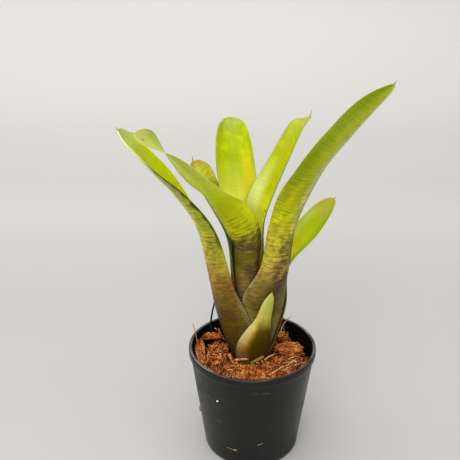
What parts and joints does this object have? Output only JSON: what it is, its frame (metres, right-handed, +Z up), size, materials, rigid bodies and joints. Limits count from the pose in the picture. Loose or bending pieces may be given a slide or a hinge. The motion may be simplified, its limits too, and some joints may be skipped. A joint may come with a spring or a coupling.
{
  "type": "potted neoregelia coimbrae",
  "caption": "Small tank bromeliad with stiff channelled green strap leaves nested in a rosette, growing in coconut husk in a tapered round nursery pot.",
  "frame": {"origin": "centre of the pot underside, on the surface the pot stands on", "axes": "+Z up along the pot, -Y towards the front that the picture shows, +X to the right in the picture"},
  "size_m": [0.1671, 0.0963, 0.2756],
  "materials": {
    "pot_plastic": "satin near-black injection-moulded plastic",
    "coconut_husk": "rough fibrous orange-brown husk",
    "woody_stem": "rough dark brown",
    "leaf_blade": "smooth satin leaf skin, yellow-green above, olive to purple-brown below",
    "dry_stalk": "dull dark dry stalk"
  },
  "bodies": {
    "root": {"pot": "pot_plastic", "growing_mix": "coconut_husk", "husk_chip_left": "coconut_husk", "husk_chip_front": "coconut_husk", "husk_chip_fibrous": "coconut_husk", "husk_chip_right": "coconut_husk", "husk_chip_back_left": "coconut_husk", "husk_chip_back_right": "coconut_husk", "stem": "woody_stem", "leaf_left_outer": "leaf_blade", "leaf_left_spoon": "leaf_blade", "leaf_right_large": "leaf_blade", "leaf_back": "leaf_blade", "leaf_back_right": "leaf_blade", "leaf_back_left": "leaf_blade", "leaf_right_low": "leaf_blade", "leaf_front_basal": "leaf_blade", "dry_stalk": "dry_stalk"}
  },
  "joints": []
}
